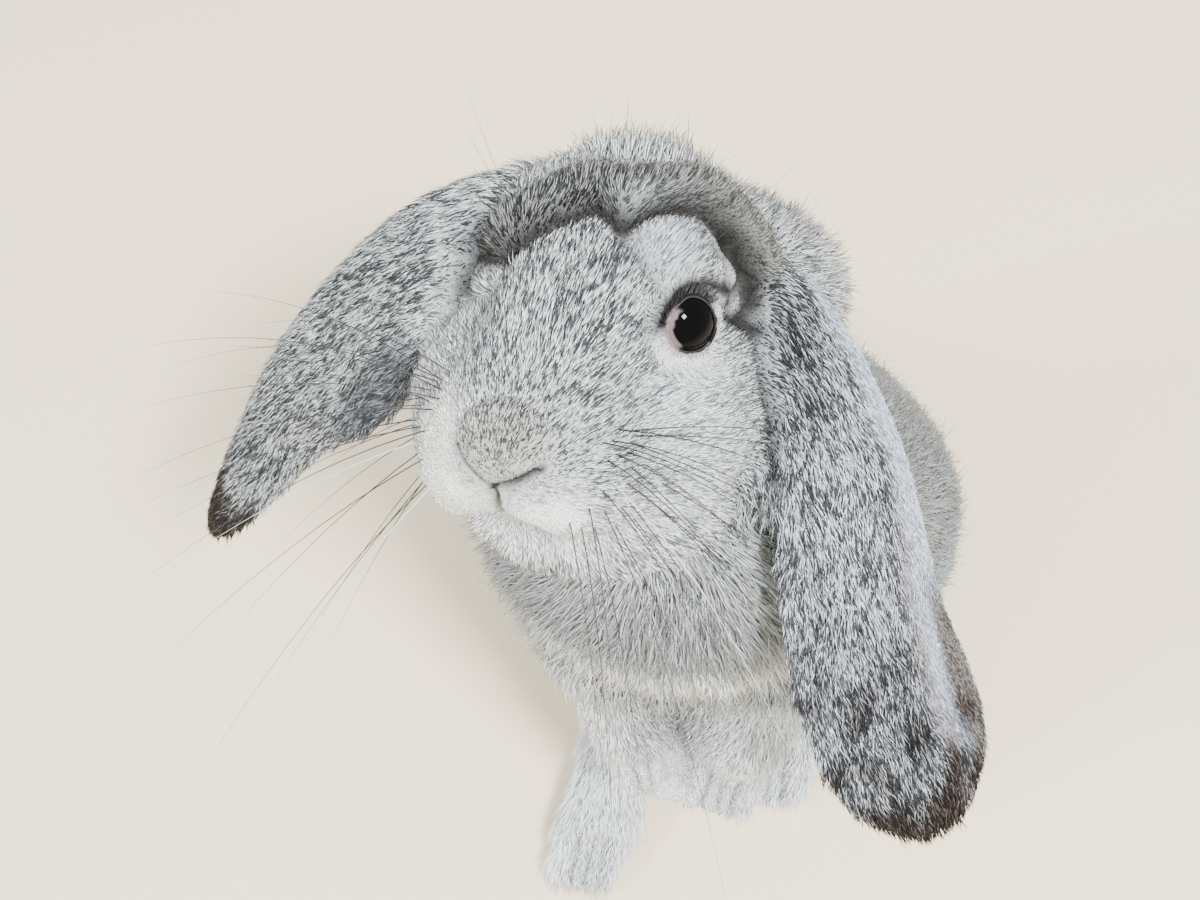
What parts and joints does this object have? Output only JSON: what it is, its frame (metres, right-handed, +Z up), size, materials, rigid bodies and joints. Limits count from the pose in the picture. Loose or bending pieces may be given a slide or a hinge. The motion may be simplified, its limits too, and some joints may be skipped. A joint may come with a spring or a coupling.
{
  "type": "lop rabbit",
  "caption": "Life-size grey lop-eared rabbit sitting up on its haunches, front paws hanging, head lifted and turned to its right.",
  "frame": {"origin": "on the floor under the middle of the whole rabbit's outline", "axes": "+Z up, the chest faces -Y and +X is the rabbit's left"},
  "size_m": [0.2216, 0.2188, 0.2832],
  "materials": {
    "fur": "dense matt fur, silver grey ticked with black",
    "pale_fur": "dense matt fur, pale grey",
    "eye": "wet gloss, near black"
  },
  "bodies": {
    "root": {"head": "fur", "neck": "fur", "trunk": "fur", "tail": "fur", "thigh_left": "fur", "thigh_right": "fur", "hind_foot_left": "pale_fur", "hind_foot_right": "pale_fur", "foreleg_left": "fur", "foreleg_right": "fur", "forepaw_left": "pale_fur", "forepaw_right": "pale_fur", "ear_left": "fur", "ear_right": "fur", "eye_left": "eye", "eye_right": "eye"}
  },
  "joints": []
}
